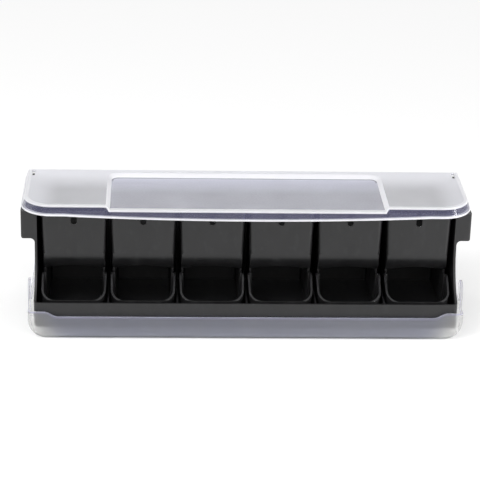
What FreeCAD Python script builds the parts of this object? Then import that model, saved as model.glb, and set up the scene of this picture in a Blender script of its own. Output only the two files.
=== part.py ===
import FreeCAD
import Part
import Sketcher
import os

# Bar condiment holder: six gravity-fed bins stand side by side in a black housing,
# under a frosted lid that hinges at the back, and the housing stands in a clear tray.
# Millimetres; +X to the right, the front faces -Y, +Z up, z = 0 under the tray.

# Driving sizes: name, value, what it measures
SIZES = [
    ("bin_count", 6, "bins side by side"),
    ("bin_width", 71.4, "width of a bin at its rims"),
    ("bin_gap", 4.4, "free space between neighbouring rims"),
    ("bin_height", 119.4, "bin base to hopper rim"),
    ("bin_wall", 2.0, "bin wall thickness"),
    ("bin_floor", 2.2, "bin floor thickness"),
    ("bin_corner", 5.0, "outer corner radius of the hopper"),
    ("hopper_depth", 88.5, "hopper rim, front to back"),
    ("hopper_taper", 3.6, "lean of each hopper side over the bin's height"),
    ("scoop_reach", 32.5, "scoop rim in front of the hopper's front panel"),
    ("scoop_height", 28.0, "bin base to the scoop's front rim"),
    ("scoop_back_height", 45.4, "bin base to the scoop's rim at the panel"),
    ("scoop_taper", 2.5, "lean of each scoop side"),
    ("scoop_shoulder", 6.0, "scoop walls carried on behind the panel's face"),
    ("scoop_corner", 14.0, "front corner radius of the scoop"),
    ("roll_height", 70.4, "bin base to where the panel starts to roll inwards"),
    ("roll_radius", 26.0, "radius of the panel's rolled lower part"),
    ("roll_turn", 58.0, "degrees that the panel rolls inwards"),
    ("mouth_rise", 5.5, "rise of the lower edge's arch"),
    ("mouth_margin", 2.5, "arch ends inside the hopper walls"),
    ("notch_width", 6.6, "notch in the panel's rim"),
    ("notch_depth", 15.3, "depth of that notch"),
    ("seat_gap", 0.3, "clearance under a piece that stands on another"),
    ("bin_front_gap", 2.0, "bin to the housing's front lip"),
    ("bin_end_gap", 4.8, "outer bin to the housing's end wall"),
    ("bin_back_gap", 1.0, "bin to the housing's back wall"),
    ("housing_wall", 2.5, "housing wall thickness"),
    ("housing_floor", 2.5, "housing floor thickness"),
    ("housing_front_corner", 5.0, "upright front corners of the housing, in plan"),
    ("front_lip_height", 29.7, "front lip above the housing's base"),
    ("end_wall_setback", 1.0, "end wall's upright front edge behind the panels"),
    ("swoop_run", 34.0, "sweep of the end wall's front edge, front to back"),
    ("swoop_rise", 53.5, "height of that sweep above the front lip"),
    ("divider_thickness", 1.8, "divider between two bins"),
    ("ear_width", 15.0, "carrying ear, outwards from the end wall"),
    ("ear_height", 32.0, "carrying ear, top to bottom"),
    ("ear_depth", 76.0, "carrying ear, front to back"),
    ("ear_wall", 3.0, "wall of the hollow ear"),
    ("ear_fillet", 5.0, "fillet between the ear and the end wall"),
    ("ear_edge_round", 2.5, "round of the ear's outer edges"),
    ("hinge_rise", 3.2, "hinge axis above the bin rims"),
    ("hinge_inset", 3.7, "hinge axis in front of the housing's back"),
    ("knuckle_radius", 7.0, "hinge knuckle"),
    ("knuckle_thickness", 2.4, "hinge knuckle along the axis"),
    ("knuckle_offset", 4.3, "knuckle outside the end wall"),
    ("knuckle_foot_depth", 8.0, "knuckle's foot, front to back"),
    ("knuckle_foot_height", 22.0, "hinge axis to the bottom of the foot"),
    ("pin_radius", 1.5, "hinge pin"),
    ("pin_clearance", 0.08, "radial clearance of the hinge pin"),
    ("boss_radius", 2.6, "boss that carries the hinge pin"),
    ("hinge_side_gap", 0.4, "knuckle to the boss"),
    ("lid_wall", 2.4, "lid thickness"),
    ("lid_rise", 11.2, "lid top above its seat on the ears"),
    ("lid_lip_drop", 4.8, "front lip below that seat"),
    ("lid_flare", 0.9, "foot of the lid's sides outside the ear's outer face"),
    ("lid_lean_drop", 12.0, "leaning upper part of the lid's sides and front, top to bottom"),
    ("lid_lean_run", 4.4, "how far that part leans inwards"),
    ("lid_overhang", 14.4, "foot of the lid's front ahead of the bin panels"),
    ("lid_tail", 12.2, "lid behind the hinge axis"),
    ("lip_flat", 48.4, "level end of the front lip's lower edge, which bows down between the ends"),
    ("lip_trim", 0.3, "least cut that gives that edge its bow"),
    ("lid_front_corner", 35.0, "front corners in plan"),
    ("lid_edge_round", 1.8, "round of the top edges"),
    ("pad_end_margin", 94.4, "recessed pad to the foot of the lid's side"),
    ("pad_depth", 4.5, "depth of that pad"),
    ("pad_step", 0.3, "upright foot of the pad's sloping walls"),
    ("pad_margin", 10.0, "pad to the lid's back edge"),
    ("pad_corner", 12.0, "back corners of the pad"),
    ("slot_gap", 0.5, "knuckle to the edge of its slot through the lid"),
    ("tray_wall", 2.5, "tray wall thickness"),
    ("tray_floor", 2.5, "tray floor thickness"),
    ("tray_height", 31.8, "tray rim above the counter"),
    ("tray_end_round", 20.0, "round of the tray's lower ends"),
    ("tray_edge_round", 5.0, "round of the tray's other outer edges"),
    ("tray_front_gap", 1.5, "housing to the tray's front wall"),
    ("tray_end_gap", 4.0, "housing to the tray's end walls"),
    ("tray_back_gap", 6.5, "housing to the tray's back wall"),
    ("dip_margin", 20.0, "dip in the front rim to the tray's end"),
    ("dip_depth", 5.8, "depth of that dip"),
    ("dip_slope", 10.0, "run of the dip's sloping ends"),
    ("dip_round", 14.0, "round of the dip's corners"),
    ("stand_height", 8.5, "stand ribs above the tray's floor"),
    ("stand_thickness", 3.0, "stand rib"),
    ("stand_end_margin", 36.0, "middle of a stand rib to the tray's end"),
    ("stand_margin", 14.0, "stand rib's ends inside the tray walls"),
    ("tab_rise", 29.6, "finger tab above the tray's rim"),
    ("tab_width", 20.0, "finger tab, front to back"),
    ("tab_setback", 15.0, "finger tab behind the tray's front"),
    ("cut_margin", 1.0, "how far a cut runs past the face that it opens"),
]

# Sizes and places that follow from the driving sizes
WORKED_OUT = [
    ("bin_pitch", "bin_width + bin_gap"),
    ("bin_half", "bin_width / 2"),
    ("bins_half", "(bin_count * bin_pitch - bin_gap) / 2"),
    ("end_inner", "bins_half + bin_end_gap"),
    ("end_outer", "end_inner + housing_wall"),
    ("ear_outer", "end_outer + ear_width"),
    ("tray_half", "end_outer + tray_end_gap + tray_wall"),
    ("tray_inner", "tray_half - tray_wall"),
    ("housing_inner_depth", "bin_front_gap + scoop_reach + hopper_depth + bin_back_gap"),
    ("housing_depth", "housing_inner_depth + 2 * housing_wall"),
    ("tray_depth", "housing_depth + tray_front_gap + tray_back_gap + 2 * tray_wall"),
    ("tray_back", "tray_depth / 2"),
    ("tray_front", "-tray_depth / 2"),
    ("housing_front", "tray_front + tray_wall + tray_front_gap"),
    ("housing_back", "housing_front + housing_depth"),
    ("scoop_front", "housing_front + housing_wall + bin_front_gap"),
    ("panel_front", "scoop_front + scoop_reach"),
    ("hopper_back", "panel_front + hopper_depth"),
    ("stand_top", "tray_floor + stand_height"),
    ("housing_base", "stand_top + seat_gap"),
    ("housing_deck", "housing_base + housing_floor"),
    ("bin_base", "housing_deck + seat_gap"),
    ("rim", "bin_base + bin_height"),
    ("lip_top", "housing_base + front_lip_height"),
    ("hinge_y", "housing_back - hinge_inset"),
    ("hinge_z", "rim + hinge_rise"),
    # hopper
    ("hopper_half_base", "bin_half - hopper_taper"),
    ("cavity_floor", "bin_base + bin_floor"),
    ("cavity_half", "bin_half - bin_wall"),
    ("cavity_half_floor", "cavity_half - hopper_taper * (1 - bin_floor / bin_height)"),
    ("cavity_front", "panel_front + bin_wall"),
    ("cavity_depth", "hopper_depth - 2 * bin_wall"),
    ("cavity_corner", "bin_corner - bin_wall"),
    ("roll_start", "bin_base + roll_height"),
    ("roll_centre_y", "panel_front + roll_radius"),
    ("roll_inner_radius", "roll_radius - bin_wall"),
    ("roll_end", "roll_start - roll_radius * sin(roll_turn)"),
    ("roll_end_y", "roll_centre_y - roll_radius * cos(roll_turn)"),
    ("roll_inner_end", "roll_start - roll_inner_radius * sin(roll_turn)"),
    ("roll_inner_end_y", "roll_centre_y - roll_inner_radius * cos(roll_turn)"),
    ("roll_top_half", "cavity_half - hopper_taper * (1 - roll_height / bin_height)"),
    ("roll_end_half", "bin_half - hopper_taper * (rim - roll_end) / bin_height"),
    ("roll_width", "roll_top_half + roll_end_half"),
    ("mouth_low_half", "cavity_half - hopper_taper * (1 - scoop_back_height / bin_height)"),
    ("mouth_cut", "scoop_shoulder + 2 * cut_margin"),
    ("panel_cut", "bin_wall + 2 * cut_margin"),
    ("panel_cut_start", "panel_front - cut_margin"),
    ("arch_half", "mouth_low_half - mouth_margin"),
    ("arch_top", "roll_end + mouth_rise"),
    ("arch_radius", "(arch_half * arch_half + mouth_rise * mouth_rise) / (2 * mouth_rise)"),
    ("arch_centre", "arch_top - arch_radius"),
    ("arch_cut", "roll_radius"),
    ("notch_half", "notch_width / 2"),
    ("notch_centre", "rim - notch_depth + notch_half"),
    ("rim_clear", "rim + cut_margin"),
    # scoop
    ("scoop_rim", "bin_base + scoop_height"),
    ("scoop_top", "bin_base + scoop_back_height"),
    ("scoop_half_base", "bin_half - scoop_taper"),
    ("scoop_back", "panel_front + scoop_shoulder"),
    ("scoop_depth", "scoop_back - scoop_front"),
    ("bowl_half_floor", "cavity_half - scoop_taper * (1 - bin_floor / scoop_back_height)"),
    ("bowl_front", "scoop_front + bin_wall"),
    ("bowl_depth", "scoop_depth - 2 * bin_wall"),
    ("bowl_corner", "scoop_corner - bin_wall"),
    ("bowl_clear_front", "scoop_front - cut_margin"),
    ("bowl_clear_top", "scoop_top + cut_margin"),
    # housing
    ("housing_height", "rim - housing_base"),
    ("housing_corner", "housing_wall + min(bin_front_gap; bin_back_gap)"),
    ("upright_front", "panel_front + end_wall_setback"),
    ("swoop_front", "upright_front - swoop_run"),
    ("swoop_top", "lip_top + swoop_rise"),
    ("back_inner", "housing_back - housing_wall"),
    ("front_inner", "housing_front + housing_wall"),
    ("housing_clear_front", "housing_front - cut_margin"),
    ("ear_bottom", "rim - ear_height"),
    ("ear_root", "end_outer - housing_wall / 2"),
    ("ear_back", "upright_front + ear_depth"),
    ("grip_inner", "end_outer + ear_wall"),
    ("grip_outer", "ear_outer - ear_wall"),
    ("grip_front", "upright_front + ear_wall"),
    ("grip_back", "ear_back - ear_wall"),
    ("grip_floor", "ear_bottom - ear_fillet - cut_margin"),
    ("grip_depth", "ear_height - ear_wall + ear_fillet + cut_margin"),
    ("foot_front", "hinge_y - knuckle_foot_depth / 2"),
    ("foot_back", "hinge_y + knuckle_foot_depth / 2"),
    ("foot_bottom", "hinge_z - knuckle_foot_height"),
    ("knuckle_inner", "end_outer + knuckle_offset"),
    ("knuckle_outer", "knuckle_inner + knuckle_thickness"),
    ("foot_length", "knuckle_outer - ear_root"),
    ("bore_radius", "pin_radius + pin_clearance"),
    ("bore_start", "knuckle_outer + cut_margin"),
    ("bore_length", "knuckle_thickness + 2 * cut_margin"),
    ("divider_first", "bin_pitch * (bin_count / 2 - 1) + divider_thickness / 2"),
    ("divider_run", "bin_pitch * (bin_count - 2)"),
    ("divider_times", "bin_count - 1"),
    ("divider_front", "front_inner - housing_wall / 2"),
    ("divider_back", "back_inner + housing_wall / 2"),
    ("divider_base", "housing_deck - housing_floor / 2"),
    # lid
    ("lid_half", "ear_outer + lid_flare"),
    ("lid_front", "panel_front - lid_overhang"),
    ("lid_back", "hinge_y + lid_tail"),
    ("lid_seat", "rim + seat_gap"),
    ("lid_top", "lid_seat + lid_rise"),
    ("lid_bottom", "lid_seat - lid_lip_drop"),
    ("lid_height", "lid_top - lid_bottom"),
    ("lid_top_front", "lid_front + lid_lean_run"),
    ("lid_lean_foot", "lid_top - lid_lean_drop"),
    ("lid_inner", "lid_half - lid_lean_run - lid_wall"),
    ("lid_under", "lid_top - lid_wall"),
    ("lid_front_inner", "lid_front + lid_wall"),
    ("lid_back_inner", "lid_back - lid_wall - cut_margin"),
    ("lid_back_cut", "lid_wall + 2 * cut_margin"),
    ("lid_clear_back", "lid_back + cut_margin"),
    ("lid_clear_bottom", "lid_bottom - cut_margin"),
    ("lid_clear_half", "lid_half + cut_margin"),
    ("lid_clear_top", "lid_top + cut_margin"),
    ("bow_half", "lid_half - lip_flat"),
    ("bow_rise", "lid_lip_drop - lip_trim"),
    ("bow_centre", "lid_seat - bow_rise + (bow_half^2 + bow_rise^2) / (2 * bow_rise)"),
    ("pad_half", "lid_half - pad_end_margin"),
    ("pad_back", "lid_back - pad_margin"),
    ("pad_slope", "pad_depth - pad_step"),
    ("pad_floor_half", "pad_half - pad_slope"),
    ("pad_floor_back", "pad_back - pad_slope"),
    ("pad_floor_bend", "pad_back - pad_corner"),
    ("pad_floor_bend_half", "pad_half - pad_corner"),
    ("pad_clear_front", "lid_front - cut_margin"),
    ("dish_half", "pad_half + lid_wall / 2"),
    ("dish_back", "pad_back + lid_wall / 2"),
    ("dish_bend", "dish_back - pad_corner"),
    ("dish_bend_half", "dish_half - pad_corner"),
    ("dish_front", "lid_top_front - lid_wall / 4"),
    ("dish_low", "lid_under - pad_depth"),
    ("dish_height", "pad_depth + lid_wall / 2"),
    ("slot_inner", "knuckle_inner - slot_gap"),
    ("slot_outer", "knuckle_outer + slot_gap"),
    ("slot_front", "hinge_y - knuckle_radius - slot_gap"),
    ("slot_back", "hinge_y + knuckle_radius + slot_gap"),
    ("slot_cut", "lid_wall + 2 * cut_margin"),
    ("hinge_lean", "lid_lean_run * (hinge_z - lid_lean_foot) / lid_lean_drop"),
    ("boss_root", "lid_half - hinge_lean - lid_wall / 2"),
    ("boss_length", "boss_root - knuckle_outer - hinge_side_gap"),
    ("pin_length", "boss_root - knuckle_inner + hinge_side_gap"),
    # tray
    ("dip_half", "tray_half - dip_margin"),
    ("dip_half_low", "dip_half - dip_slope"),
    ("dip_low", "tray_height - dip_depth"),
    ("dip_clear", "tray_height + cut_margin"),
    ("dip_half_clear", "dip_half + dip_slope * cut_margin / dip_depth"),
    ("dip_start", "tray_front - cut_margin"),
    ("dip_cut", "tray_wall + 2 * cut_margin"),
    ("stand_inner", "tray_half - stand_end_margin - stand_thickness / 2"),
    ("stand_outer", "stand_inner + stand_thickness"),
    ("stand_front", "tray_front + tray_wall + stand_margin"),
    ("stand_back", "tray_back - tray_wall - stand_margin"),
    ("stand_root", "tray_floor / 2"),
    ("stand_rise", "stand_top - stand_root"),
    ("tab_front", "tray_front + tab_setback"),
    ("tab_back", "tab_front + tab_width"),
    ("tab_z", "tray_height + tab_rise - tab_width / 2"),
    ("tab_root", "tray_height - tray_wall"),
]

# How closely an edge or face of the model meets the place that it is looked for at
SLACK = 0.05

# Share of its own length that an upright edge climbs
UPRIGHT_SHARE = 0.9

doc = FreeCAD.newDocument("bar_condiment_holder")
sizes = doc.addObject("Spreadsheet::Sheet", "sizes")


def fill_sheet():
    row = 0
    for name, number, meaning in SIZES:
        row += 1
        sizes.set("A%d" % row, meaning)
        sizes.set("B%d" % row, str(number))
        sizes.setAlias("B%d" % row, name)
    for name, working in WORKED_OUT:
        row += 1
        sizes.set("B%d" % row, "=" + working)
        sizes.setAlias("B%d" % row, name)
    doc.recompute()


def value(name):
    """Number behind a name of the sheet; a leading minus mirrors it."""
    if name.startswith("-"):
        return -float(sizes.get(name[1:]))
    return float(sizes.get(name))


def formula(name):
    """Expression that binds a property to a name of the sheet."""
    if name.startswith("-"):
        return "-sizes." + name[1:]
    return "sizes." + name


def mirrored(name):
    return name[1:] if name.startswith("-") else "-" + name


# Sketches

def new_body(label):
    body = doc.addObject("PartDesign::Body", label)
    body.Label = label
    return body


def datum(body, role):
    for feature in body.Origin.OriginFeatures:
        if feature.Role == role:
            return feature
    raise ValueError("no origin feature " + role)


def new_sketch(body, role, offset):
    """Sketch on an origin plane, moved along that plane's normal by a named size."""
    sketch = body.newObject("Sketcher::SketchObject", "sketch")
    sketch.AttachmentSupport = [(datum(body, role), "")]
    sketch.MapMode = "FlatFace"
    if offset:
        sketch.setExpression("AttachmentOffset.Base.z", formula(offset))
    return sketch


def plan_sketch(body, height):
    return new_sketch(body, "XY_Plane", height)


def front_sketch(body, depth):
    """Sketch seen from the front, standing at the depth; that plane's normal is -Y."""
    return new_sketch(body, "XZ_Plane", mirrored(depth))


def side_sketch(body, across=None):
    return new_sketch(body, "YZ_Plane", across)


def bind(sketch, kind, line, end, name):
    """Hold one coordinate of a point, measured from the sketch's origin, at a named place."""
    index = sketch.addConstraint(Sketcher.Constraint(kind, -1, 1, line, end, value(name)))
    sketch.setExpression("Constraints[%d]" % index, formula(name))


def arc_between(start, end, centre_up, over):
    """Arc whose centre lies at the level centre_up; a half circle bulges up or down, as over says."""
    drop = (start.y - centre_up) ** 2 - (end.y - centre_up) ** 2
    centre_across = (start.x ** 2 - end.x ** 2 + drop) / (2 * (start.x - end.x))
    centre = FreeCAD.Vector(centre_across, centre_up, 0)
    reach = (start - centre).Length
    way = (start + end) * 0.5 - centre
    if way.Length < SLACK:
        way = FreeCAD.Vector(0, over, 0)
    return Part.Arc(start, centre + way * (reach / way.Length), end)


def outline(sketch, corners, arcs=None):
    """Closed outline through corners given by the names of their places.

    arcs gives, for the side that leaves a corner, the level of its arc's centre
    and +1 or -1 for a half circle that bulges up or down; the other sides are straight.
    """
    arcs = arcs or {}
    points = [FreeCAD.Vector(value(across), value(up), 0) for across, up in corners]
    ends = points[1:] + points[:1]
    sides = []
    for index, (start, end) in enumerate(zip(points, ends)):
        if index in arcs:
            centre_up, over = arcs[index]
            side = sketch.addGeometry(arc_between(start, end, value(centre_up), over), False)
            bind(sketch, "DistanceY", side, 3, centre_up)
        else:
            side = sketch.addGeometry(Part.LineSegment(start, end), False)
        forwards = (sketch.getPoint(side, 1) - start).Length < SLACK
        sides.append((side, 1, 2) if forwards else (side, 2, 1))
    following = sides[1:] + sides[:1]
    for (side, _, tail), (other, head, _) in zip(sides, following):
        sketch.addConstraint(Sketcher.Constraint("Coincident", side, tail, other, head))
    for (side, head, _), (across, up) in zip(sides, corners):
        bind(sketch, "DistanceX", side, head, across)
        bind(sketch, "DistanceY", side, head, up)
    return sketch


def rectangle(sketch, left, right, low, high):
    return outline(sketch, [(left, low), (right, low), (right, high), (left, high)])


def round_ended(sketch, left, right, round_up, square_up):
    """Strip between left and right, with a half circle at one level and a square end at the other."""
    over = 1 if value(round_up) > value(square_up) else -1
    corners = [(right, round_up), (left, round_up), (left, square_up), (right, square_up)]
    return outline(sketch, corners, {0: (round_up, over)})


def circle(sketch, across, up, radius):
    centre = FreeCAD.Vector(value(across), value(up), 0)
    ring = Part.Circle(centre, FreeCAD.Vector(0, 0, 1), value(radius))
    line = sketch.addGeometry(ring, False)
    bind(sketch, "DistanceX", line, 3, across)
    bind(sketch, "DistanceY", line, 3, up)
    index = sketch.addConstraint(Sketcher.Constraint("Radius", line, value(radius)))
    sketch.setExpression("Constraints[%d]" % index, formula(radius))
    return sketch


# Features

def pad(body, sketch, length, reverse=False, symmetric=False):
    feature = body.newObject("PartDesign::Pad", "pad")
    feature.Profile = sketch
    feature.SideType = "Symmetric" if symmetric else "One side"
    feature.Reversed = reverse
    feature.setExpression("Length", formula(length))
    doc.recompute()
    return feature


def pocket(body, sketch, length=None, reverse=False):
    """Cut of a named depth, or right through to both sides when no depth is given."""
    before = body.Shape.Volume
    feature = body.newObject("PartDesign::Pocket", "pocket")
    feature.Profile = sketch
    if length:
        feature.Reversed = reverse
        feature.setExpression("Length", formula(length))
    else:
        feature.Type = "ThroughAll"
        feature.SideType = "Symmetric"
    doc.recompute()
    if not body.Shape.Volume < before:
        raise ValueError("a cut in %s removes nothing" % body.Label)
    return feature


def edge_names(body, wanted):
    """Names of the edges of the body's last feature for which wanted(edge) holds."""
    edges = body.Tip.Shape.Edges
    names = ["Edge%d" % (index + 1) for index, edge in enumerate(edges) if wanted(edge)]
    if not names:
        raise ValueError("no edge to trim in " + body.Label)
    return names


def round_edges(body, radius, wanted):
    base = body.Tip
    names = edge_names(body, wanted)
    feature = body.newObject("PartDesign::Fillet", "round")
    feature.Base = (base, names)
    feature.setExpression("Radius", formula(radius))
    doc.recompute()
    return feature


def slope_edges(body, down, across, wanted):
    """Cut edges to a slope, so far along the wall and so far across the flat."""
    base = body.Tip
    names = edge_names(body, wanted)
    feature = body.newObject("PartDesign::Chamfer", "slope")
    feature.Base = (base, names)
    feature.ChamferType = "Two distances"
    feature.setExpression("Size", formula(down))
    feature.setExpression("Size2", formula(across))
    doc.recompute()
    return feature


def hollow(body, wall, wanted):
    """Shell of a named thickness, open at the faces for which wanted(face) holds."""
    base = body.Tip
    faces = base.Shape.Faces
    names = ["Face%d" % (index + 1) for index, face in enumerate(faces) if wanted(face)]
    feature = body.newObject("PartDesign::Thickness", "shell")
    feature.Base = (base, names)
    feature.Join = "Intersection"
    feature.Reversed = True
    feature.setExpression("Value", formula(wall))
    doc.recompute()
    return feature


def near(one, other):
    return abs(one - other) < SLACK


def middle(edge):
    return edge.valueAt((edge.FirstParameter + edge.LastParameter) / 2)


def upright(edge):
    """True for an edge that runs up, leaning no more than a drafted wall does."""
    run = edge.Vertexes[-1].Point - edge.Vertexes[0].Point
    return edge.Length > SLACK and abs(run.z) > UPRIGHT_SHARE * edge.Length


def level(thing, height):
    """True for an edge or face that lies flat at the height."""
    box = thing.BoundBox
    return near(box.ZMin, height) and near(box.ZMax, height)


def fore_or_aft(edge, front, back):
    """True for an edge that lies in the front plane or in the back plane."""
    box = edge.BoundBox
    return any(near(box.YMin, place) and near(box.YMax, place) for place in (front, back))


# Sub-parts

def build_tray():
    body = new_body("base_tray")
    plan = rectangle(plan_sketch(body, None), "-tray_half", "tray_half", "tray_front", "tray_back")
    pad(body, plan, "tray_height")
    half = value("tray_half")
    front = value("tray_front")
    back = value("tray_back")
    top = value("tray_height")
    round_edges(body, "tray_end_round", lambda e: level(e, 0) and near(abs(middle(e).x), half))
    round_edges(body, "tray_edge_round", lambda e: fore_or_aft(e, front, back) and not level(e, top))
    hollow(body, "tray_wall", lambda f: level(f, top))
    dip = outline(front_sketch(body, "dip_start"), [
        ("-dip_half_clear", "dip_clear"), ("-dip_half_low", "dip_low"),
        ("dip_half_low", "dip_low"), ("dip_half_clear", "dip_clear")])
    pocket(body, dip, "dip_cut")
    corners = (("dip_half", "tray_height"), ("dip_half_low", "dip_low"))
    round_edges(body, "dip_round", lambda e: any(
        near(abs(middle(e).x), value(across)) and level(e, value(up)) for across, up in corners))
    stands = plan_sketch(body, "stand_root")
    rectangle(stands, "stand_inner", "stand_outer", "stand_front", "stand_back")
    rectangle(stands, "-stand_outer", "-stand_inner", "stand_front", "stand_back")
    pad(body, stands, "stand_rise")
    for start in ("tray_inner", "-tray_half"):
        tab = round_ended(side_sketch(body, start), "tab_front", "tab_back", "tab_z", "tab_root")
        pad(body, tab, "tray_wall")
    return body


def build_housing():
    body = new_body("housing")
    plan = plan_sketch(body, "housing_base")
    rectangle(plan, "-end_outer", "end_outer", "housing_front", "housing_back")
    pad(body, plan, "housing_height")
    base = value("housing_base")
    top = value("rim")
    front = value("housing_front")
    back = value("housing_back")
    round_edges(body, "housing_front_corner", lambda e: upright(e) and near(middle(e).y, front))
    round_edges(body, "housing_corner", lambda e: upright(e) and near(middle(e).y, back))
    round_edges(body, "housing_corner", lambda e: level(e, base))
    hollow(body, "housing_wall", lambda f: level(f, top))
    cut_housing_front(body)
    add_ears(body)
    add_knuckles(body)
    add_dividers(body)
    return body


def cut_housing_front(body):
    """Open the front above the lip, with a sweep up the end walls."""
    profile = outline(side_sketch(body), [
        ("housing_clear_front", "lip_top"), ("swoop_front", "lip_top"),
        ("upright_front", "swoop_top"), ("upright_front", "rim_clear"),
        ("housing_clear_front", "rim_clear")],
        {1: ("swoop_top", 1)})
    pocket(body, profile)


def add_ears(body):
    """Hollow carrying ears outside the end walls, open underneath for the fingers."""
    ears = front_sketch(body, "ear_back")
    rectangle(ears, "ear_root", "ear_outer", "ear_bottom", "rim")
    rectangle(ears, "-ear_outer", "-ear_root", "ear_bottom", "rim")
    pad(body, ears, "ear_depth")
    bottom = value("ear_bottom")
    outer = value("ear_outer")
    front = value("upright_front")
    round_edges(
        body, "ear_fillet",
        lambda e: level(e, bottom) and near(abs(middle(e).x), value("end_outer")))
    round_edges(
        body, "ear_edge_round",
        lambda e: near(abs(middle(e).x), outer)
        and (level(e, bottom) or (upright(e) and near(middle(e).y, front))))
    grips = plan_sketch(body, "grip_floor")
    rectangle(grips, "grip_inner", "grip_outer", "grip_front", "grip_back")
    rectangle(grips, "-grip_outer", "-grip_inner", "grip_front", "grip_back")
    pocket(body, grips, "grip_depth", reverse=True)


def add_knuckles(body):
    """Round hinge knuckles on feet outside the end walls, bored for the lid's pins."""
    for side, turn in (("", False), ("-", True)):
        foot = rectangle(
            side_sketch(body, side + "ear_root"), "foot_front", "foot_back", "foot_bottom", "rim")
        pad(body, foot, "foot_length", reverse=turn)
        post = rectangle(
            side_sketch(body, side + "knuckle_inner"), "foot_front", "foot_back", "foot_bottom",
            "hinge_z")
        pad(body, post, "knuckle_thickness", reverse=turn)
        knuckle = circle(side_sketch(body, side + "knuckle_inner"), "hinge_y", "hinge_z", "knuckle_radius")
        pad(body, knuckle, "knuckle_thickness", reverse=turn)
        bore = circle(side_sketch(body, side + "bore_start"), "hinge_y", "hinge_z", "bore_radius")
        pocket(body, bore, "bore_length", reverse=turn)


def add_dividers(body):
    """Low dividers between the bins, level with the front lip."""
    profile = rectangle(
        side_sketch(body, "-divider_first"), "divider_front", "divider_back", "divider_base", "lip_top")
    divider = pad(body, profile, "divider_thickness")
    pattern = body.newObject("PartDesign::LinearPattern", "dividers")
    pattern.Originals = [divider]
    pattern.Direction = (datum(body, "X_Axis"), [""])
    pattern.setExpression("Length", formula("divider_run"))
    pattern.setExpression("Occurrences", formula("divider_times"))
    body.Tip = pattern
    doc.recompute()


def build_bin(number):
    body = new_body("bin_%d" % number)
    place = number - (value("bin_count") + 1) / 2
    body.setExpression("Placement.Base.x", "%g * sizes.bin_pitch" % place)
    shape_hopper(body)
    shape_scoop(body)
    roll_panel(body)
    notch = round_ended(
        front_sketch(body, "panel_cut_start"), "-notch_half", "notch_half", "notch_centre", "rim_clear")
    pocket(body, notch, "panel_cut")
    return body


def drafted(sketch, half_low, half_high, low, high):
    """Front view of a part whose sides lean."""
    return outline(sketch, [
        ("-" + half_low, low), (half_low, low), (half_high, high), ("-" + half_high, high)])


def shape_hopper(body):
    """Hopper with leaning sides, hollowed from its rim."""
    outside = drafted(front_sketch(body, "hopper_back"), "hopper_half_base", "bin_half", "bin_base", "rim")
    pad(body, outside, "hopper_depth")
    round_edges(body, "bin_corner", upright)
    inside = drafted(
        front_sketch(body, "cavity_front"), "cavity_half_floor", "cavity_half", "cavity_floor", "rim")
    pocket(body, inside, "cavity_depth")
    deepest = value("cavity_floor")
    round_edges(body, "cavity_corner", lambda e: upright(e) and near(e.BoundBox.ZMin, deepest))


def shape_scoop(body):
    """Open scoop in front of the hopper, with rounded corners and a rim that climbs to the panel."""
    front = value("panel_front") - value("cut_margin")
    outside = drafted(
        front_sketch(body, "scoop_back"), "scoop_half_base", "bin_half", "bin_base", "scoop_top")
    pad(body, outside, "scoop_depth")
    inside = drafted(
        front_sketch(body, "bowl_front"), "bowl_half_floor", "cavity_half", "cavity_floor", "scoop_top")
    pocket(body, inside, "bowl_depth")
    deepest = value("cavity_floor")
    round_edges(
        body, "bowl_corner",
        lambda e: upright(e) and middle(e).y < front and near(e.BoundBox.ZMin, deepest))
    base = value("bin_base")
    round_edges(
        body, "scoop_corner",
        lambda e: upright(e) and middle(e).y < front and near(e.BoundBox.ZMin, base))
    slope = outline(side_sketch(body), [
        ("bowl_clear_front", "scoop_rim"), ("bowl_front", "scoop_rim"),
        ("panel_front", "scoop_top"), ("panel_front", "bowl_clear_top"),
        ("bowl_clear_front", "bowl_clear_top")])
    pocket(body, slope)


def roll_panel(body):
    """Open the hopper to the scoop, roll the panel's lower part inwards and arch its edge."""
    mouth = drafted(
        front_sketch(body, "panel_cut_start"), "cavity_half_floor", "roll_top_half", "cavity_floor",
        "roll_start")
    pocket(body, mouth, "mouth_cut")
    cheeks = outline(side_sketch(body), [
        ("panel_cut_start", "roll_start"), ("panel_front", "roll_start"), ("roll_end_y", "roll_end"),
        ("roll_end_y", "scoop_top"), ("panel_cut_start", "scoop_top")],
        {1: ("roll_start", 1)})
    pocket(body, cheeks)
    band = outline(side_sketch(body), [
        ("panel_front", "roll_start"), ("roll_end_y", "roll_end"),
        ("roll_inner_end_y", "roll_inner_end"), ("cavity_front", "roll_start")],
        {0: ("roll_start", 1), 2: ("roll_start", 1)})
    pad(body, band, "roll_width", symmetric=True)
    arch = outline(
        front_sketch(body, "panel_cut_start"), [("-arch_half", "roll_end"), ("arch_half", "roll_end")],
        {1: ("arch_centre", 1)})
    pocket(body, arch, "arch_cut")


def on_lid_top(edge, in_pad):
    """True for a top edge of the lid that belongs to its recessed pad, or to its border."""
    place = middle(edge)
    across = abs(place.x) < value("pad_half") + SLACK
    along = value("lid_top_front") + SLACK < place.y < value("pad_back") + SLACK
    return level(edge, value("lid_top")) and (across and along) == in_pad


def pad_outline(sketch, half, front, back, bend_half, bend):
    """Plan of the recessed pad or of the dish under it, with its two back corners rounded."""
    return outline(sketch, [
        ("-" + half, front), (half, front), (half, bend), (bend_half, back),
        ("-" + bend_half, back), ("-" + half, bend)],
        {2: (bend, 1), 4: (bend, 1)})


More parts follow.
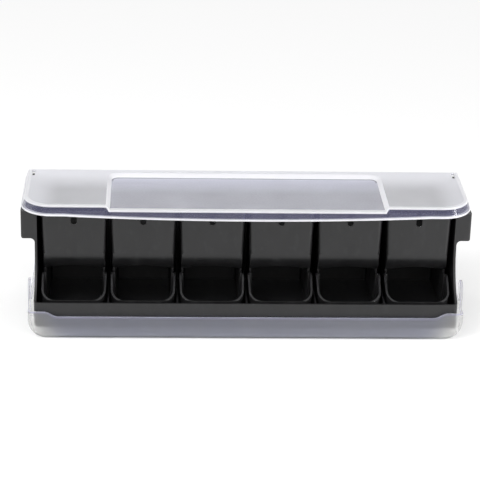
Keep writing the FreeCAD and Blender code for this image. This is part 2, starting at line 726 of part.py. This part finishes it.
def build_lid():
    body = new_body("lid")
    back = value("lid_back")
    plan = plan_sketch(body, "lid_bottom")
    rectangle(plan, "-lid_half", "lid_half", "lid_front", "lid_back")
    pad(body, plan, "lid_height")
    round_edges(
        body, "lid_front_corner", lambda e: upright(e) and near(middle(e).y, value("lid_front")))
    slope_edges(
        body, "lid_lean_drop", "lid_lean_run",
        lambda e: level(e, value("lid_top")) and not near(middle(e).y, back))
    hollow(body, "lid_wall", lambda f: level(f, value("lid_bottom")))
    sink_pad(body)
    round_edges(body, "lid_edge_round", lambda e: on_lid_top(e, False))
    open_lid_back(body)
    bow_lip(body)
    add_hinge_pins(body)
    return body


def sink_pad(body):
    """Recess with sloping walls that runs out through the front, in a dish of the lid's thickness."""
    dish = plan_sketch(body, "dish_low")
    pad_outline(dish, "dish_half", "dish_front", "dish_back", "dish_bend_half", "dish_bend")
    pad(body, dish, "dish_height")
    low = value("dish_low")
    front = value("lid_top_front") + value("lid_wall")
    slope_edges(
        body, "pad_slope", "pad_slope", lambda e: level(e, low) and middle(e).y > front)
    recess = plan_sketch(body, "lid_top")
    pad_outline(
        recess, "pad_floor_half", "pad_clear_front", "pad_floor_back", "pad_floor_bend_half",
        "pad_floor_bend")
    pocket(body, recess, "pad_depth")
    slope_edges(body, "pad_slope", "pad_slope", lambda e: on_lid_top(e, True))


def open_lid_back(body):
    """Leave the lid open at the back, and clear of the ears along its sides."""
    back_wall = rectangle(
        front_sketch(body, "lid_back_inner"), "-lid_inner", "lid_inner", "lid_clear_bottom", "lid_under")
    pocket(body, back_wall, "lid_back_cut")
    clear_ears = outline(side_sketch(body), [
        ("lid_front_inner", "lid_clear_bottom"), ("lid_front_inner", "lid_bottom"),
        ("panel_front", "lid_seat"), ("lid_clear_back", "lid_seat"),
        ("lid_clear_back", "lid_clear_bottom")])
    pocket(body, clear_ears)


def bow_lip(body):
    """Cut the front lip's lower edge to a long bow that hangs down between level ends."""
    under = outline(front_sketch(body, "lid_back"), [
        ("-lid_clear_half", "lid_clear_bottom"), ("lid_clear_half", "lid_clear_bottom"),
        ("lid_clear_half", "lid_seat"), ("bow_half", "lid_seat"),
        ("-bow_half", "lid_seat"), ("-lid_clear_half", "lid_seat")],
        {3: ("bow_centre", 1)})
    pocket(body, under)


def add_hinge_pins(body):
    """Slots for the housing's knuckles, and pins on bosses inside the lid's sides."""
    slots = plan_sketch(body, "lid_clear_top")
    rectangle(slots, "slot_inner", "slot_outer", "slot_front", "slot_back")
    rectangle(slots, "-slot_outer", "-slot_inner", "slot_front", "slot_back")
    pocket(body, slots, "slot_cut")
    for side, turn in (("", True), ("-", False)):
        boss = circle(side_sketch(body, side + "boss_root"), "hinge_y", "hinge_z", "boss_radius")
        pad(body, boss, "boss_length", reverse=turn)
        pin = circle(side_sketch(body, side + "boss_root"), "hinge_y", "hinge_z", "pin_radius")
        pad(body, pin, "pin_length", reverse=turn)


def check(parts):
    for thing in doc.Objects:
        if "Invalid" in thing.State or "Error" in thing.State:
            raise ValueError("%s failed: %s" % (thing.Label, thing.State))
    for part in parts:
        shape = part.Shape
        if shape.isNull() or not shape.isValid() or len(shape.Solids) != 1:
            raise ValueError("%s is not one valid solid" % part.Label)


def main():
    fill_sheet()
    parts = [build_tray(), build_housing()]
    parts += [build_bin(number + 1) for number in range(int(value("bin_count")))]
    parts.append(build_lid())
    check(parts)
    os.makedirs("parts", exist_ok=True)
    for part in parts:
        part.Shape.exportStep("parts/%s.step" % part.Label)


main()
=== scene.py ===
import bmesh
import bpy
import math
from mathutils import Matrix, Vector


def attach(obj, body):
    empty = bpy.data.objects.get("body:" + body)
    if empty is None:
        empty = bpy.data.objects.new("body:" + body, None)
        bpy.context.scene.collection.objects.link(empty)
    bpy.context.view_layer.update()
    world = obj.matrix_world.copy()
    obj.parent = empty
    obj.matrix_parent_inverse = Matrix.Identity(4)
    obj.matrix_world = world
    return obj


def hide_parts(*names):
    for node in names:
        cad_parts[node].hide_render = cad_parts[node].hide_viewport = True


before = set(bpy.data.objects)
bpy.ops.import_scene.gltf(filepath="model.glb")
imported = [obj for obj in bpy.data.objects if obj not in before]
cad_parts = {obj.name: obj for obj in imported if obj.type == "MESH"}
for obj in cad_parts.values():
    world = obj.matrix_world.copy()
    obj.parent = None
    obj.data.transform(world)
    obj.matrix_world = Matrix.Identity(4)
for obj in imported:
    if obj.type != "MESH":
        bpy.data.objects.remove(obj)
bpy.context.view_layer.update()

# Bar condiment holder: black bins in a black housing, under a frosted lid, in a clear tray.
# Metres; +X to the right, the front faces -Y, +Z up, z = 0 under the tray.

BINS = range(1, 7)

# Rounded-off edges: how wide they are, and which edges get them
TRAY_EDGE = 0.0005
HOUSING_EDGE = 0.0007
# The ears' outer upright corners are rounded off wider, so their paler edge colour, partly wear and
# partly a painted highlight, shows as a strip
EAR_CORNER_EDGE = 0.0035
LID_EDGE = 0.0005
BIN_EDGE = 0.0006
EDGE_STEPS = 3
SHARP = math.radians(30)
CREASE = math.radians(9)
FLAT = math.radians(0.4)
BROAD_FACE = 2e-5
SAME_POINT = 1e-6
UPRIGHT = 1e-5
EDGE = "edge"

# Lid
LID_TOP = 0.145
LIP_LOW = 0.1293
LIP_SEAT = 0.1338
LIP_RIM = 0.0018
LIP_BOW_HALF = 0.2
LIP_BOW = (LIP_SEAT - LIP_LOW) / LIP_BOW_HALF ** 2
LIP_CLEAR_FROM = -0.014
LIP_CLEAR_FADE = 0.012
ROOF_HALF = 0.244
ROOF_BACK = 0.056
ROOF_FRONT = -0.04
ROOF_CORNER = 0.0306
ROOF_EDGE = 0.0016
BRIM = 0.0032
MILKY_BACK = 0.05
MILKY_END = 0.04
PAD_HALF = 0.1498
PAD_BACK = 0.0563
PAD_CORNER = 0.0078
PAD_FLOOR = 0.1405
PAD_LINE = 0.0014

# Housing
EAR_OUTER = 0.2475

# Tray
TRAY_HALF = 0.239
TRAY_FRONT = -0.071
TRAY_RIM = 0.0318
TRAY_DIP = 0.026
DIP_INNER = 0.209
DIP_OUTER = 0.219
RIM_HEIGHT = 0.0014
FOOT_HEIGHT = 0.0012
PALE_END = 0.05
CLEAR_END = 0.0055

# Colours
HOUSING_DARK = (0.007, 0.007, 0.0075)
HOUSING_PALE = (0.021, 0.021, 0.022)
BIN_DARK = (0.004, 0.004, 0.0044)
BIN_PALE = (0.022, 0.022, 0.023)
# Paler grey on rounded-off black edges: partly wear, partly a painted highlight
RUBBED_AND_HIGHLIT_BLACK = (0.1, 0.1, 0.104)
ROOF_MILK = (0.88, 0.885, 0.93)
PAD_MILK = (0.68, 0.69, 0.81)
# Grey of the painted shadow line along the pad's back
PAD_SHADOW_GREY = (0.25, 0.25, 0.31)
# Near-white painted highlight on the lid's slopes, edges, lip rim and front brim
PAINTED_HIGHLIGHT_WHITE = (0.94, 0.94, 0.97)
# Dim violet of the clear lip: little diffuse, as clear plastic has, and painted shade of the gap behind
# it
LIP_VIOLET = (0.19, 0.19, 0.32)
TRAY_BLUE = (0.77, 0.79, 0.92)
TRAY_PALE_BLUE = (0.86, 0.87, 0.95)
# Painted light: the tray's ends whitened as if lit from behind
TRAY_END_PAINTED_WHITE = (0.99, 0.99, 0.98)
# Pale violet painted highlight on the tray's front rim and edges
TRAY_RIM_HIGHLIGHT = (0.82, 0.81, 1.0)
# Dark violet painted shade outlining the edges of the tray's clear ends
TRAY_END_SHADE_LINE = (0.4, 0.38, 0.66)
# Painted contact shadow along the tray's bottom edge
TRAY_CONTACT_SHADOW_GREY = (0.2, 0.2, 0.22)
FLOOR_GREY = (0.82, 0.82, 0.82)
WHITE = (1.0, 1.0, 1.0)

# Studio
FLOOR_HALF = 8.0
FLOOR_LEVEL = -0.0002
IMAGE_WIDTH = 480
SENSOR_WIDTH = 36


# Finishes

class Wire:
    """Output of a node, to reckon with."""

    def __init__(self, finish, socket):
        self.finish = finish
        self.socket = socket

    def reckon(self, operation, first, second):
        return self.finish.add("ShaderNodeMath", {"operation": operation}, {0: first, 1: second})

    def __add__(self, other):
        return self.reckon("ADD", self, other)

    def __radd__(self, other):
        return self.reckon("ADD", other, self)

    def __sub__(self, other):
        return self.reckon("SUBTRACT", self, other)

    def __rsub__(self, other):
        return self.reckon("SUBTRACT", other, self)

    def __mul__(self, other):
        return self.reckon("MULTIPLY", self, other)

    def __rmul__(self, other):
        return self.reckon("MULTIPLY", other, self)

    def __abs__(self):
        return self.finish.add("ShaderNodeMath", {"operation": "ABSOLUTE"}, {0: self})


class Finish:
    """Material of a moulded piece; its nodes are added one by one."""

    def __init__(self, name, **even):
        self.material = bpy.data.materials.new(name)
        self.material.use_nodes = True
        self.tree = self.material.node_tree
        self.shader = self.tree.nodes["Principled BSDF"]
        for socket, value in even.items():
            self.shader.inputs[socket.replace("_", " ")].default_value = value
        self.spot = self.add("ShaderNodeTexCoord", {}, {}, "Object")

    def add(self, kind, settings, sockets, output=0):
        """Add a node: its settings first, then the values or links of its sockets."""
        node = self.tree.nodes.new(kind)
        for name, value in settings.items():
            setattr(node, name, value)
        for name, value in sockets.items():
            self.feed(node.inputs[name], value)
        return Wire(self, node.outputs[output])

    def feed(self, socket, value):
        if isinstance(value, Wire):
            self.tree.links.new(value.socket, socket)
        else:
            socket.default_value = value

    def paint(self, socket, value):
        self.feed(self.shader.inputs[socket], value)

    def axes(self):
        node = self.add("ShaderNodeSeparateXYZ", {}, {0: self.spot})
        outputs = node.socket.node.outputs
        return [Wire(self, outputs[index]) for index in range(3)]

    def facing(self):
        """Share by which the surface faces up, from -1 to 1, in the piece's own frame."""
        turned = self.add("ShaderNodeTexCoord", {}, {}, "Normal")
        return self.add("ShaderNodeSeparateXYZ", {}, {0: turned}, "Z")

    def noise(self, scale, detail, stretch=None):
        place = self.spot
        if stretch:
            place = self.add("ShaderNodeMapping", {}, {"Vector": self.spot, "Scale": stretch})
        return self.add(
            "ShaderNodeTexNoise", {}, {"Vector": place, "Scale": scale, "Detail": detail}, "Fac")

    def ramp(self, value, low, high):
        """Smooth step from 0 at low to 1 at high."""
        return self.add(
            "ShaderNodeMapRange", {"interpolation_type": "SMOOTHSTEP"},
            {"Value": value, "From Min": low, "From Max": high})

    def between(self, share, first, second):
        """Colour between two colours, each written out or coming from other nodes."""
        first, second = [
            colour if isinstance(colour, Wire) else (*colour, 1) for colour in (first, second)]
        return self.add(
            "ShaderNodeMix", {"data_type": "RGBA"}, {"Factor": share, 6: first, 7: second}, 2)

    def least(self, first, second):
        return self.add("ShaderNodeMath", {"operation": "MINIMUM"}, {0: first, 1: second})

    def most(self, first, second):
        return self.add("ShaderNodeMath", {"operation": "MAXIMUM"}, {0: first, 1: second})

    def past_round(self, over_x, over_y, radius):
        """How far a point lies outside a round corner, from how far it is past each side."""
        side = self.most(over_x + radius, 0.0)
        end = self.most(over_y + radius, 0.0)
        reach = self.add("ShaderNodeMath", {"operation": "SQRT"}, {0: side * side + end * end})
        return reach - radius

    def rounded_edge_share(self):
        """1 on the rounded-off edges, 0 elsewhere."""
        return self.add("ShaderNodeAttribute", {"attribute_name": EDGE}, {}, "Fac")

    def bump(self, height, distance, strength):
        self.paint("Normal", self.add(
            "ShaderNodeBump", {}, {"Strength": strength, "Distance": distance, "Height": height}))


def black_plastic(name, dark, pale, rough, spread, grain):
    """Moulded black plastic: fine grain, flow marks, scuffs that dull it, and rounded-off edges painted
    paler, partly as wear and partly as a painted highlight.
    """
    finish = Finish(name, IOR=1.5)
    flow = finish.noise(scale=48.0, detail=3.0, stretch=(1.0, 1.0, 0.5))
    scuff = finish.noise(scale=120.0, detail=4.0, stretch=(1.0, 0.6, 0.6))
    fine = finish.noise(scale=2600.0, detail=1.0)
    worn = finish.ramp(scuff, low=0.52, high=0.75)
    # Rounded-off edges painted paler: partly wear, partly a painted highlight where the edges catch the
    # light
    rubbed_and_highlit = finish.rounded_edge_share() * (0.4 + flow * 0.8)
    skin = finish.between(flow * 0.6 + worn * 0.4, dark, pale)
    finish.paint("Base Color", finish.between(rubbed_and_highlit, skin, RUBBED_AND_HIGHLIT_BLACK))
    finish.paint("Roughness", rough + flow * spread + worn * spread - rubbed_and_highlit * 0.08)
    finish.bump(fine * 0.7 + flow * 0.3, distance=grain, strength=0.35)
    return finish.material


def frosted_plastic():
    """Frosted plastic: milkiest at the lid's back and ends, thinner in front, clear in the front lip;
    painted highlights on slopes, rounded-off edges, the lip's lower rim and the front brim, painted
    shadow along the pad's back, and painted shade in the clear lip.
    """
    finish = Finish("frosted_lid", IOR=1.49, Transmission_Weight=0.4)
    x, y, z = finish.axes()
    up = finish.facing()
    edge = finish.rounded_edge_share()
    frost = finish.noise(scale=1500.0, detail=2.0)
    cloud = finish.noise(scale=16.0, detail=2.0)
    speckle = finish.noise(scale=420.0, detail=2.0)

    # Front lip, clear, between a painted highlight along its lower rim and a painted highlight along
    # the roof's front brim above
    across_pad = finish.ramp(abs(x), PAD_HALF + 0.004, PAD_HALF + 0.001)
    below_top = z - LID_TOP + across_pad * (LID_TOP - PAD_FLOOR)
    bow = finish.least(x * x, LIP_BOW_HALF ** 2) * LIP_BOW
    lower = finish.ramp(z - bow, LIP_LOW + LIP_RIM + 0.001, LIP_LOW + LIP_RIM)
    upper = finish.ramp(below_top, -ROOF_EDGE - 0.0008, -ROOF_EDGE)
    ahead = finish.ramp(y, LIP_CLEAR_FROM, LIP_CLEAR_FROM - LIP_CLEAR_FADE)
    upright = finish.ramp(abs(up), 0.6, 0.5) * ahead
    clear = upright * (1 - lower) * (1 - upper) * (1 - edge)
    to_front = finish.past_round(abs(x) - ROOF_HALF, ROOF_FRONT - y, ROOF_CORNER)
    brim = upper * finish.ramp(to_front, -BRIM - 0.0018, -BRIM)

    # Recessed pad, with a painted shadow line along its back
    to_edge = finish.past_round(abs(x) - PAD_HALF, y - PAD_BACK, PAD_CORNER)
    floor = finish.ramp(abs(z - PAD_FLOOR), 0.0008, 0.0003)
    in_pad = floor * finish.ramp(to_edge, 0.0004, -0.0002)
    at_back = finish.ramp(y, PAD_BACK - 0.014, PAD_BACK - 0.006)
    line = in_pad * finish.ramp(to_edge, -PAD_LINE - 0.001, -PAD_LINE) * at_back

    # How cloudy and how clear the roof and the pad are, and where highlights are painted
    thin = finish.ramp(y, ROOF_BACK, ROOF_BACK - MILKY_BACK)
    lid_end = finish.ramp(abs(x), ROOF_HALF - MILKY_END, ROOF_HALF - 0.006)
    slope = finish.ramp(up, 0.97, 0.88) * finish.ramp(up, 0.4, 0.6)
    # Painted highlights: sloped faces, rounded-off edges, the lip's lower rim and the roof's front brim
    # are painted near-white, and made more opaque
    highlit_and_milky = finish.least(slope + edge + lower + brim, 1.0)
    through_roof = thin * (0.36 + cloud * 0.18) * (1 - lid_end * 0.7)
    see_through = through_roof + in_pad * (0.07 + speckle * 0.08) + line * 0.1

    milk = finish.between(in_pad, ROOF_MILK, PAD_MILK)
    # The line along the pad's back is painted shadow
    tint = finish.between(line, milk, PAD_SHADOW_GREY)
    bright = finish.between(highlit_and_milky, tint, PAINTED_HIGHLIGHT_WHITE)
    # The clear lip painted dim violet: little diffuse, as clear plastic has, and painted shade of the
    # dark gap behind it
    finish.paint("Base Color", finish.between(clear, bright, LIP_VIOLET))
    finish.paint("Roughness", (0.26 + cloud * 0.1) * (1 - clear) + clear * 0.06)
    cover = 0.97 - see_through * (1 - highlit_and_milky) * (1 - clear)
    finish.paint("Alpha", cover - clear * 0.6 + highlit_and_milky * 0.03)
    finish.bump(frost * (1 - clear), distance=0.00003, strength=0.4)
    return finish.material


def clear_plastic():
    """Clear plastic with a frosted skin and clear ends; painted whiter towards the ends as if lit from
    behind, with painted highlights on the rims and rounded-off edges, painted shade outlining the clear
    ends' edges, and a painted contact shadow along the bottom edge.
    """
    finish = Finish("clear_tray", IOR=1.4, Transmission_Weight=0.9)
    x, y, z = finish.axes()
    edge = finish.rounded_edge_share()
    frost = finish.noise(scale=1200.0, detail=2.0)
    cloud = finish.noise(scale=24.0, detail=3.0, stretch=(1.0, 1.0, 0.4))

    rim_height = TRAY_DIP + (TRAY_RIM - TRAY_DIP) * finish.ramp(abs(x), DIP_INNER, DIP_OUTER)
    front = finish.ramp(y, TRAY_FRONT + 0.01, TRAY_FRONT + 0.006)
    rim = front * finish.ramp(z - rim_height, -RIM_HEIGHT - 0.0016, -RIM_HEIGHT)
    # Ends painted whiter, standing in for light shining through them from behind
    end = finish.ramp(abs(x) - z * 0.6, TRAY_HALF - PALE_END, TRAY_HALF - 0.014)
    open_end = finish.ramp(abs(x), TRAY_HALF - CLEAR_END - 0.003, TRAY_HALF - CLEAR_END)
    # Painted contact shadow: darker along the tray's bottom edge, except at the ends
    contact_shadow = finish.ramp(z, FOOT_HEIGHT + 0.0018, FOOT_HEIGHT) * (1 - end)

    skin = finish.between(cloud, TRAY_BLUE, TRAY_PALE_BLUE)
    paler = finish.between(end, skin, TRAY_END_PAINTED_WHITE)
    # Painted highlight: the front rim band and the rounded-off edges painted pale violet
    edged = finish.between(finish.least(rim * 0.8 + edge, 1.0), paler, TRAY_RIM_HIGHLIGHT)
    # Painted shade: a dark violet outline on the rounded-off edges of the clear ends
    lined = finish.between(open_end * edge, edged, TRAY_END_SHADE_LINE)
    finish.paint("Base Color", finish.between(contact_shadow * 0.8, lined, TRAY_CONTACT_SHADOW_GREY))
    finish.paint("Roughness", 0.36 + cloud * 0.14 - rim * 0.12)
    at_end = finish.least(0.24 + rim * 0.3 + edge * 0.5, 0.9)
    finish.paint("Alpha", (0.9 - end * 0.1 + rim * 0.1) * (1 - open_end) + at_end * open_end)
    finish.bump(frost, distance=0.00003, strength=0.3)
    return finish.material


# Pieces

def marked_mesh(node, edge, wide, wide_edge):
    """Mesh of the node's solid, with its creases, and a weight on each edge to round off."""
    shape = bmesh.new()
    shape.from_mesh(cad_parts[node].data)
    bmesh.ops.remove_doubles(shape, verts=shape.verts, dist=SAME_POINT)
    bmesh.ops.dissolve_limit(shape, angle_limit=FLAT, verts=shape.verts, edges=shape.edges)
    weight = shape.edges.layers.float.new("bevel_weight_edge")
    for face in shape.faces:
        face.smooth = True
    for line in shape.edges:
        turn = line.calc_face_angle(0.0)
        broad = min(face.calc_area() for face in line.link_faces) > BROAD_FACE
        line.smooth = turn < (CREASE if broad else SHARP)
        if line.is_convex and turn > SHARP:
            width = wide_edge if wide and wide(line) else edge
            line[weight] = width / max(edge, wide_edge)
    mesh = bpy.data.meshes.new(node + "_marked")
    shape.to_mesh(mesh)
    shape.free()
    return mesh


def rounded_mesh(mesh, widest, finish):
    """The marked mesh with its edges rounded off, and an attribute that is 1 on them."""
    mesh.materials.clear()
    for part in ("faces", "edges"):
        mesh.materials.append(finish)
    rounded = bpy.data.objects.new(mesh.name, mesh)
    bpy.context.scene.collection.objects.link(rounded)
    bevel = rounded.modifiers.new("edges", "BEVEL")
    bevel.width = widest
    bevel.segments = EDGE_STEPS
    bevel.limit_method = "WEIGHT"
    bevel.material = 1
    flats = rounded.modifiers.new("flats", "WEIGHTED_NORMAL")
    flats.weight = 100
    flats.keep_sharp = True
    evaluated = rounded.evaluated_get(bpy.context.evaluated_depsgraph_get())
    result = bpy.data.meshes.new_from_object(evaluated)
    bpy.data.objects.remove(rounded)
    on_edge = result.attributes.new(EDGE, "FLOAT", "FACE")
    on_edge.data.foreach_set("value", [float(face.material_index) for face in result.polygons])
    result.materials.clear()
    result.materials.append(finish)
    result.polygons.foreach_set("material_index", [0] * len(result.polygons))
    return result


def moulding(node, piece, body, finish, edge, wide=None, wide_edge=0.0):
    """The node's solid with its outer edges rounded off, as a mould leaves them, some of them wider."""
    marked = marked_mesh(node, edge, wide, wide_edge)
    mesh = rounded_mesh(marked, max(edge, wide_edge), finish)
    mesh.name = piece
    thing = bpy.data.objects.new(piece, mesh)
    bpy.context.scene.collection.objects.link(thing)
    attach(thing, body)
    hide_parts(node)


def on_ear_corner(line):
    """Upright edges at the outer corners of the carrying ears."""
    low, high = [corner.co for corner in line.verts]
    upright = abs(low.x - high.x) + abs(low.y - high.y) < UPRIGHT
    return upright and abs(low.x) > EAR_OUTER - 0.0001


def dress():
    tray = clear_plastic()
    lid = frosted_plastic()
    housing = black_plastic(
        "housing_black", HOUSING_DARK, HOUSING_PALE, rough=0.36, spread=0.1, grain=0.00004)
    bins = black_plastic(
        "bin_black", BIN_DARK, BIN_PALE, rough=0.25, spread=0.14, grain=0.00003)
    moulding("base_tray", "tray_moulding", "tray", tray, TRAY_EDGE)
    moulding(
        "housing", "housing_moulding", "housing", housing, HOUSING_EDGE,
        on_ear_corner, EAR_CORNER_EDGE)
    moulding("lid", "lid_moulding", "lid", lid, LID_EDGE)
    for number in BINS:
        name = "bin_%d" % number
        moulding(name, name + "_moulding", name, bins, BIN_EDGE)


# Studio

def studio():
    """White surroundings, a pale floor and soft light from the left, the right and above."""
    bpy.context.scene.view_settings.view_transform = "Standard"
    world = bpy.data.worlds.new("studio")
    world.use_nodes = True
    tree = world.node_tree
    ground = tree.nodes["Background"]
    ground.inputs["Color"].default_value = (*WHITE, 1)
    tree.links.new(seen_strength(tree, hidden=0.64, seen=1.0), ground.inputs["Strength"])
    bpy.context.scene.world = world
    lay_floor()
    sun("sky", (-0.45, -1.2, 1.5), strength=0.65, spread=60.0)
    softbox("key_box", (-0.85, -0.75, 1.2), power=8.0, width=0.5, height=0.5)
    softbox("right_box", (0.95, -0.5, 0.25), power=5.0, width=0.2, height=0.5)


def lay_floor():
    corners = [(-1, -1), (1, -1), (1, 1), (-1, 1)]
    mesh = bpy.data.meshes.new("floor")
    mesh.from_pydata(
        [(FLOOR_HALF * across, FLOOR_HALF * along, FLOOR_LEVEL) for across, along in corners],
        [], [(0, 1, 2, 3)])
    floor = bpy.data.objects.new("floor", mesh)
    bpy.context.scene.collection.objects.link(floor)
    pale = bpy.data.materials.new("pale_floor")
    pale.use_nodes = True
    tree = pale.node_tree
    sockets = tree.nodes["Principled BSDF"].inputs
    sockets["Base Color"].default_value = (*FLOOR_GREY, 1)
    sockets["Roughness"].default_value = 0.9
    sockets["Specular IOR Level"].default_value = 0.0
    sockets["Emission Color"].default_value = (*WHITE, 1)
    tree.links.new(seen_strength(tree, hidden=0.0, seen=0.24), sockets["Emission Strength"])
    mesh.materials.append(pale)


def seen_strength(tree, hidden, seen):
    """Strength for light that falls on the object, and another for rays that show the background."""
    path = tree.nodes.new("ShaderNodeLightPath")
    total = path.outputs["Is Camera Ray"]
    for name in ("Is Glossy Ray", "Is Transmission Ray"):
        joined = tree.nodes.new("ShaderNodeMath")
        joined.operation = "MAXIMUM"
        tree.links.new(total, joined.inputs[0])
        tree.links.new(path.outputs[name], joined.inputs[1])
        total = joined.outputs[0]
    scaled = tree.nodes.new("ShaderNodeMapRange")
    tree.links.new(total, scaled.inputs["Value"])
    scaled.inputs["To Min"].default_value = hidden
    scaled.inputs["To Max"].default_value = seen
    return scaled.outputs[0]


def sun(name, place, strength, spread):
    light = bpy.data.lights.new(name, "SUN")
    light.energy = strength
    light.angle = math.radians(spread)
    hang(light, place)


def softbox(name, place, power, width, height):
    light = bpy.data.lights.new(name, "AREA")
    light.shape = "RECTANGLE"
    light.size = width
    light.size_y = height
    light.energy = power
    hang(light, place)


def hang(light, place):
    """Put a light at its place, turned to the object."""
    thing = bpy.data.objects.new(light.name, light)
    thing.location = place
    thing.rotation_euler = (-Vector(place)).to_track_quat("-Z", "Y").to_euler()
    bpy.context.scene.collection.objects.link(thing)


def camera():
    """Camera a little to the left of the middle, looking down on the front."""
    turn = math.radians(-2.77)
    rise = math.radians(22.95)
    roll = math.radians(1.45)
    distance = 2.139
    pixels_per_metre = 895.7
    target = Vector((-0.006, 0.0, 0.0888))
    level = math.cos(rise)
    back = Vector((math.sin(turn) * level, -math.cos(turn) * level, math.sin(rise)))
    right = Vector((math.cos(turn), math.sin(turn), 0))
    up = back.cross(right)
    across = right * math.cos(roll) + up * math.sin(roll)
    over = up * math.cos(roll) - right * math.sin(roll)
    spot = target + back * distance
    lens = bpy.data.cameras.new("camera")
    lens.sensor_width = SENSOR_WIDTH
    lens.lens = pixels_per_metre * distance / IMAGE_WIDTH * SENSOR_WIDTH
    thing = bpy.data.objects.new("camera", lens)
    thing.matrix_world = Matrix((
        (across.x, over.x, back.x, spot.x),
        (across.y, over.y, back.y, spot.y),
        (across.z, over.z, back.z, spot.z),
        (0, 0, 0, 1)))
    bpy.context.scene.collection.objects.link(thing)
    bpy.context.scene.camera = thing


dress()
studio()
camera()
